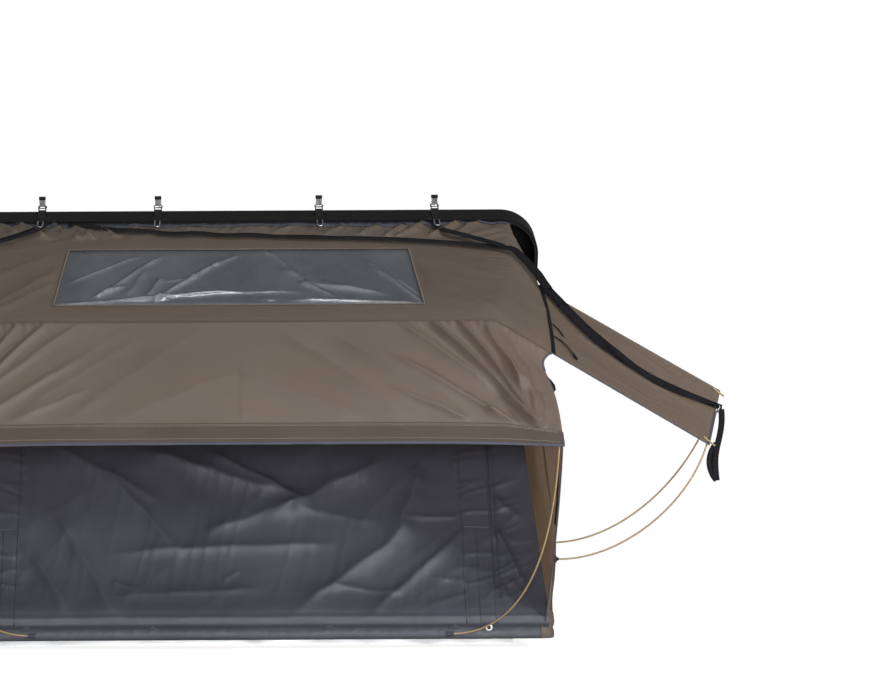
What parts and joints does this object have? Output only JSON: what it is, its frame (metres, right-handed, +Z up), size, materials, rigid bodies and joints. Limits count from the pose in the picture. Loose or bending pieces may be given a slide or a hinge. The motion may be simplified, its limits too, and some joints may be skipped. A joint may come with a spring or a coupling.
{
  "type": "roof top tent",
  "caption": "Hard-shell roof top tent with a hinged lid on gas struts, latched rim, fabric canopy with skylight, front and side awnings on spring rods, and a mattress.",
  "frame": {"origin": "middle of the base in plan, level with the bottom faces of the two mounting channels", "axes": "+X along the tent's long side, -Y to the open front, +Z up"},
  "size_m": [3.214, 1.8108, 1.5496],
  "materials": {
    "lid_gloss": "gloss",
    "taupe_fabric": "matte",
    "wall_fabric": "matte",
    "mattress_fabric": "matte",
    "window_film": "gloss",
    "webbing": "matte",
    "rod_tan": "satin",
    "steel": "satin",
    "bare_aluminium": "satin",
    "frame_metal": "satin",
    "floor_board": "satin",
    "black_metal": "gloss",
    "black_plastic": "matte",
    "black_rubber": "matte"
  },
  "bodies": {
    "base": {"base_rail_front": "frame_metal", "base_rail_back": "frame_metal", "base_rail_ends": "frame_metal", "base_corners": "black_plastic", "floor_panel": "floor_board", "mount_channels": "bare_aluminium", "channel_screws": "steel", "hinge_leaves_base": "steel", "hinge_pins": "steel", "mattress": "mattress_fabric", "skirt": "wall_fabric", "catch_plates": "black_metal", "front_rod_sockets": "black_plastic", "side_rod_sockets": "black_plastic", "strut_brackets": "steel", "front_wall": "wall_fabric", "end_wall_left": "taupe_fabric", "end_wall_right": "taupe_fabric"},
    "lid": {"lid_shell": "lid_gloss", "lid_tube_front": "bare_aluminium", "lid_tube_ends": "bare_aluminium", "lid_seal": "black_rubber", "hinge_leaves_lid": "steel", "strut_studs": "steel", "latch_brackets": "steel"},
    "strut_tube_left": {"strut_tube_left": "black_metal"},
    "strut_rod_left": {"strut_rod_left": "steel"},
    "strut_tube_right": {"strut_tube_right": "black_metal"},
    "strut_rod_right": {"strut_rod_right": "steel"},
    "lever_1": {"latch_lever_1": "steel"},
    "strap_1": {"latch_strap_1": "black_rubber", "latch_hook_1": "steel"},
    "lever_2": {"latch_lever_2": "steel"},
    "strap_2": {"latch_strap_2": "black_rubber", "latch_hook_2": "steel"},
    "lever_3": {"latch_lever_3": "steel"},
    "strap_3": {"latch_strap_3": "black_rubber", "latch_hook_3": "steel"},
    "lever_4": {"latch_lever_4": "steel"},
    "strap_4": {"latch_strap_4": "black_rubber", "latch_hook_4": "steel"},
    "canopy": {"canopy_roof": "taupe_fabric", "skylight_film": "window_film", "roof_webbing": "webbing"},
    "awning": {"front_awning": "taupe_fabric", "front_rods": "rod_tan"},
    "side_awning_left": {"side_awning_left": "taupe_fabric", "side_rods_left": "rod_tan", "side_webbing_left": "webbing", "tie_ring_left": "steel", "tie_tail_left": "webbing"},
    "wing_left": {"wing_left": "taupe_fabric"},
    "side_awning_right": {"side_awning_right": "taupe_fabric", "side_rods_right": "rod_tan", "side_webbing_right": "webbing", "tie_ring_right": "steel", "tie_tail_right": "webbing"},
    "wing_right": {"wing_right": "taupe_fabric"}
  },
  "joints": [
    {"name": "lid_hinge", "type": "hinge", "parent": "base", "child": "lid", "pos_m": [0, 0.72, 0.13], "axis": [1, 0, 0], "range_deg": [0, 66], "stiffness_Nm_per_rad": 110, "springref_deg": -85.94, "deforming": ["front_wall", "end_wall_left", "end_wall_right", "side_rod_sockets", "canopy_roof", "skylight_film", "roof_webbing", "front_awning", "front_rods", "side_awning_left", "side_awning_right", "side_rods_left", "side_rods_right", "side_webbing_left", "side_webbing_right", "tie_ring_left", "tie_ring_right", "tie_tail_left", "tie_tail_right", "wing_left", "wing_right"]},
    {"name": "strut_turn_left", "type": "hinge", "parent": "base", "child": "strut_tube_left", "pos_m": [-0.9, 0.02, 0.14], "axis": [1, 0, 0], "range_deg": [-26, 0]},
    {"name": "strut_slide_left", "type": "slide", "parent": "strut_tube_left", "child": "strut_rod_left", "axis": [0, 0.8834, 0.4686], "range_m": [-0.312, 0]},
    {"name": "strut_turn_right", "type": "hinge", "parent": "base", "child": "strut_tube_right", "pos_m": [0.9, 0.02, 0.14], "axis": [1, 0, 0], "range_deg": [-26, 0]},
    {"name": "strut_slide_right", "type": "slide", "parent": "strut_tube_right", "child": "strut_rod_right", "axis": [0, 0.8834, 0.4686], "range_m": [-0.312, 0]},
    {"name": "lever_1_turn", "type": "hinge", "parent": "lid", "child": "lever_1", "pos_m": [-0.69, 0.23457, 1.51533], "axis": [1, 0, 0], "range_deg": [-15, 75]},
    {"name": "strap_1_swing", "type": "hinge", "parent": "lid", "child": "strap_1", "pos_m": [-0.69, 0.20514, 1.49292], "axis": [1, 0, 0], "range_deg": [-25, 0]},
    {"name": "lever_2_turn", "type": "hinge", "parent": "lid", "child": "lever_2", "pos_m": [-0.283, 0.23457, 1.51533], "axis": [1, 0, 0], "range_deg": [-15, 75]},
    {"name": "strap_2_swing", "type": "hinge", "parent": "lid", "child": "strap_2", "pos_m": [-0.283, 0.20514, 1.49292], "axis": [1, 0, 0], "range_deg": [-25, 0]},
    {"name": "lever_3_turn", "type": "hinge", "parent": "lid", "child": "lever_3", "pos_m": [0.283, 0.23457, 1.51533], "axis": [1, 0, 0], "range_deg": [-15, 75]},
    {"name": "strap_3_swing", "type": "hinge", "parent": "lid", "child": "strap_3", "pos_m": [0.283, 0.20514, 1.49292], "axis": [1, 0, 0], "range_deg": [-25, 0]},
    {"name": "lever_4_turn", "type": "hinge", "parent": "lid", "child": "lever_4", "pos_m": [0.69, 0.23457, 1.51533], "axis": [1, 0, 0], "range_deg": [-15, 75]},
    {"name": "strap_4_swing", "type": "hinge", "parent": "lid", "child": "strap_4", "pos_m": [0.69, 0.20514, 1.49292], "axis": [1, 0, 0], "range_deg": [-25, 0]},
    {"name": "canopy_fold", "type": "hinge", "parent": "lid", "child": "canopy", "pos_m": [0, 0.15505, 1.44708], "axis": [1, 0, 0], "range_deg": [0, 92]},
    {"name": "awning_fold", "type": "hinge", "parent": "canopy", "child": "awning", "pos_m": [0, -0.76, 1.052], "axis": [1, 0, 0], "range_deg": [-41, 0]},
    {"name": "side_awning_fold_left", "type": "hinge", "parent": "canopy", "child": "side_awning_left", "pos_m": [-1.0024, -0.758, 0.944], "axis": [-0.0545, -0.875, -0.4811], "range_deg": [0, 153]},
    {"name": "wing_fold_left", "type": "hinge", "parent": "base", "child": "wing_left", "pos_m": [-0.992, -0.712, 0.13], "axis": [0, 0, 1], "range_deg": [0, 90]},
    {"name": "side_awning_fold_right", "type": "hinge", "parent": "canopy", "child": "side_awning_right", "pos_m": [1.0024, -0.758, 0.944], "axis": [-0.0545, 0.875, 0.4811], "range_deg": [0, 153]},
    {"name": "wing_fold_right", "type": "hinge", "parent": "base", "child": "wing_right", "pos_m": [0.992, -0.712, 0.13], "axis": [0, 0, -1], "range_deg": [0, 90]}
  ],
  "couplings": [
    {"joint": "strut_turn_left", "follows": "lid_hinge", "ratio": -0.36435},
    {"joint": "strut_slide_left", "follows": "lid_hinge", "m_per_rad": -0.2697},
    {"joint": "strut_turn_right", "follows": "lid_hinge", "ratio": -0.36435},
    {"joint": "strut_slide_right", "follows": "lid_hinge", "m_per_rad": -0.2697},
    {"joint": "canopy_fold", "follows": "lid_hinge", "ratio": 1.3734},
    {"joint": "awning_fold", "follows": "lid_hinge", "ratio": -0.60381},
    {"joint": "side_awning_fold_left", "follows": "lid_hinge", "ratio": 2.303},
    {"joint": "wing_fold_left", "follows": "lid_hinge", "ratio": 1.3621},
    {"joint": "side_awning_fold_right", "follows": "lid_hinge", "ratio": 2.303},
    {"joint": "wing_fold_right", "follows": "lid_hinge", "ratio": 1.3621}
  ]
}
